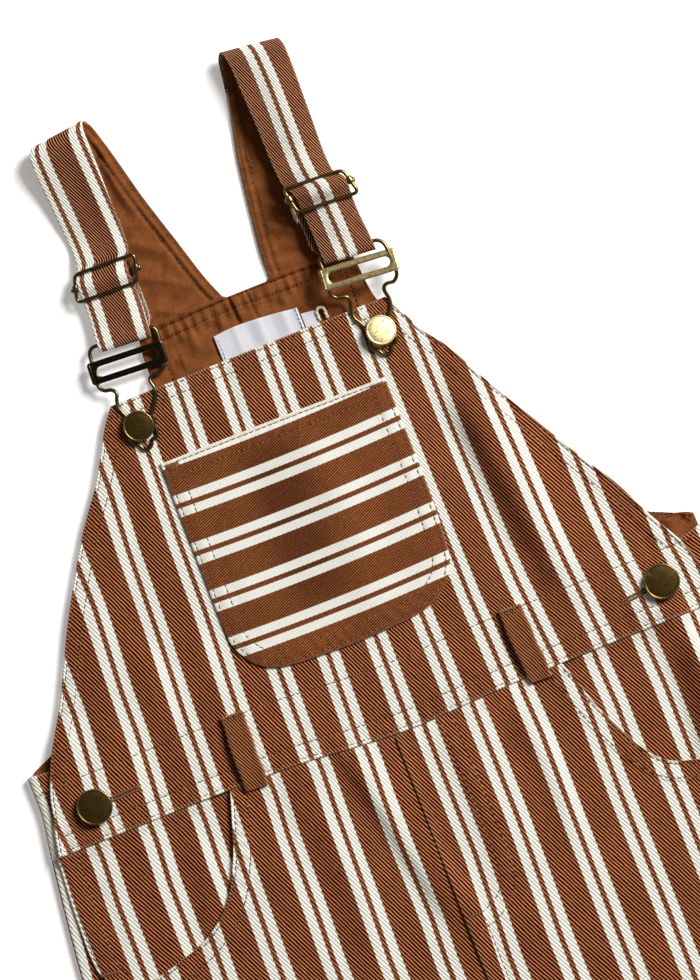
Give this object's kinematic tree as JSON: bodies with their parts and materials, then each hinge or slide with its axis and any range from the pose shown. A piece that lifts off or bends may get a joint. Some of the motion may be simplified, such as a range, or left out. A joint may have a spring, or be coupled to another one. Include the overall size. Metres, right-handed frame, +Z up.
{
  "type": "kids bib overalls",
  "caption": "Striped kids' bib overalls laid flat, with a bib pocket, fold-over straps with wire sliders, keyhole buckles and metal buttons.",
  "frame": {"origin": "middle of the front waist seam, on the surface that the back lies on", "axes": "+X to the right as the garment lies front up, +Y along the garment towards the straps, +Z up away from the surface"},
  "size_m": [0.3822, 0.9049, 0.0126],
  "materials": {
    "striped_twill": "matt cotton twill, reddish brown with pairs of cream stripes",
    "lining_twill": "matt plain brown cotton twill",
    "plain_twill": "matt plain brown cotton twill",
    "woven_label": "soft satin weave, white",
    "cotton_cord": "matt cotton cord, cream",
    "antique_brass": "antique brass, satin, worn bright on the edges"
  },
  "bodies": {
    "root": {"back_left": "striped_twill", "back_right": "striped_twill", "back_bib": "striped_twill", "back_bib_lining": "lining_twill", "front_left": "striped_twill", "front_right": "striped_twill", "pocket_bearer_left": "striped_twill", "pocket_bearer_right": "striped_twill", "bib_front": "striped_twill", "bib_pocket": "striped_twill", "strap_left": "striped_twill", "strap_lining_left": "lining_twill", "strap_right": "striped_twill", "strap_lining_right": "lining_twill", "belt_loop_left": "plain_twill", "belt_loop_right": "plain_twill", "label_main": "woven_label", "label_size": "woven_label", "label_loop": "cotton_cord", "slider_frame_left": "antique_brass", "slider_bar_left": "antique_brass", "slider_frame_right": "antique_brass", "slider_bar_right": "antique_brass", "buckle_wire_left": "antique_brass", "buckle_plate_left": "antique_brass", "buckle_wire_right": "antique_brass", "buckle_plate_right": "antique_brass", "bib_button_left": "antique_brass", "bib_button_right": "antique_brass", "side_button_left": "antique_brass", "side_button_right": "antique_brass"}
  },
  "joints": []
}
